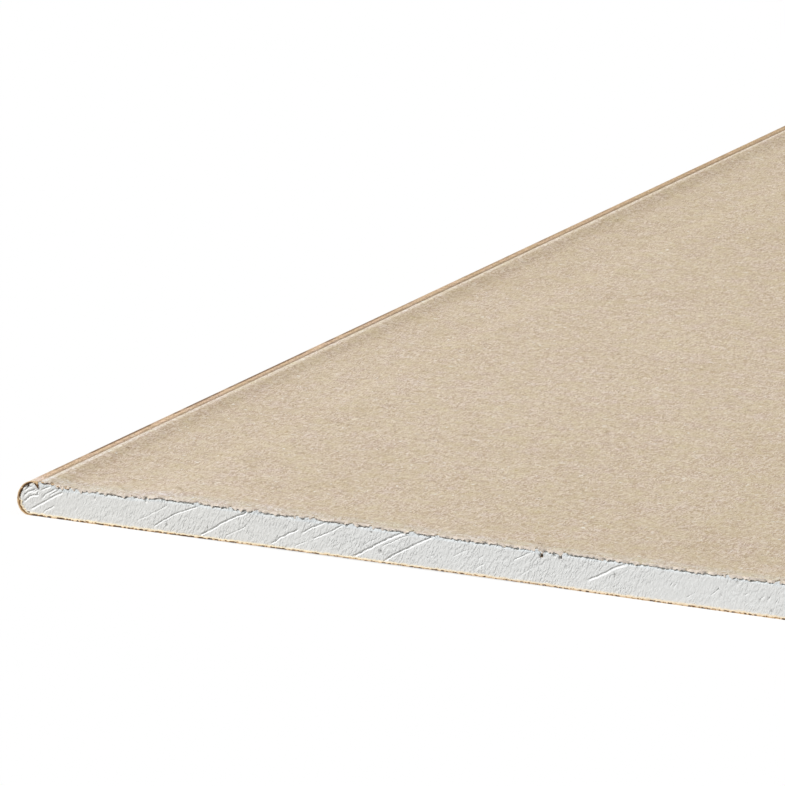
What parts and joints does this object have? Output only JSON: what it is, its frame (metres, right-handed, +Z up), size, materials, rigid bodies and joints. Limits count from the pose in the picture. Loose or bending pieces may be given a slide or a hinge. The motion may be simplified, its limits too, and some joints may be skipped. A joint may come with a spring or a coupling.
{
  "type": "drywall sheet",
  "caption": "Flat plasterboard sheet with a gypsum core, a tan back paper and a cream face paper wrapped round its two rounded long edges, for lining walls and ceilings.",
  "frame": {"origin": "middle of the face side, on which the sheet lies", "axes": "+X across the sheet's width, +Y along its rounded long edges, +Z up through its thickness, out of the back paper"},
  "size_m": [1.25, 2, 0.0125],
  "materials": {
    "gypsum": "matt, cut and slightly torn at the ends",
    "face_paper": "matt cream paper",
    "back_paper": "matt tan recycled paper with a fine fibre mottle"
  },
  "bodies": {
    "root": {"gypsum_core": "gypsum", "face_paper": "face_paper", "back_paper": "back_paper"}
  },
  "joints": []
}
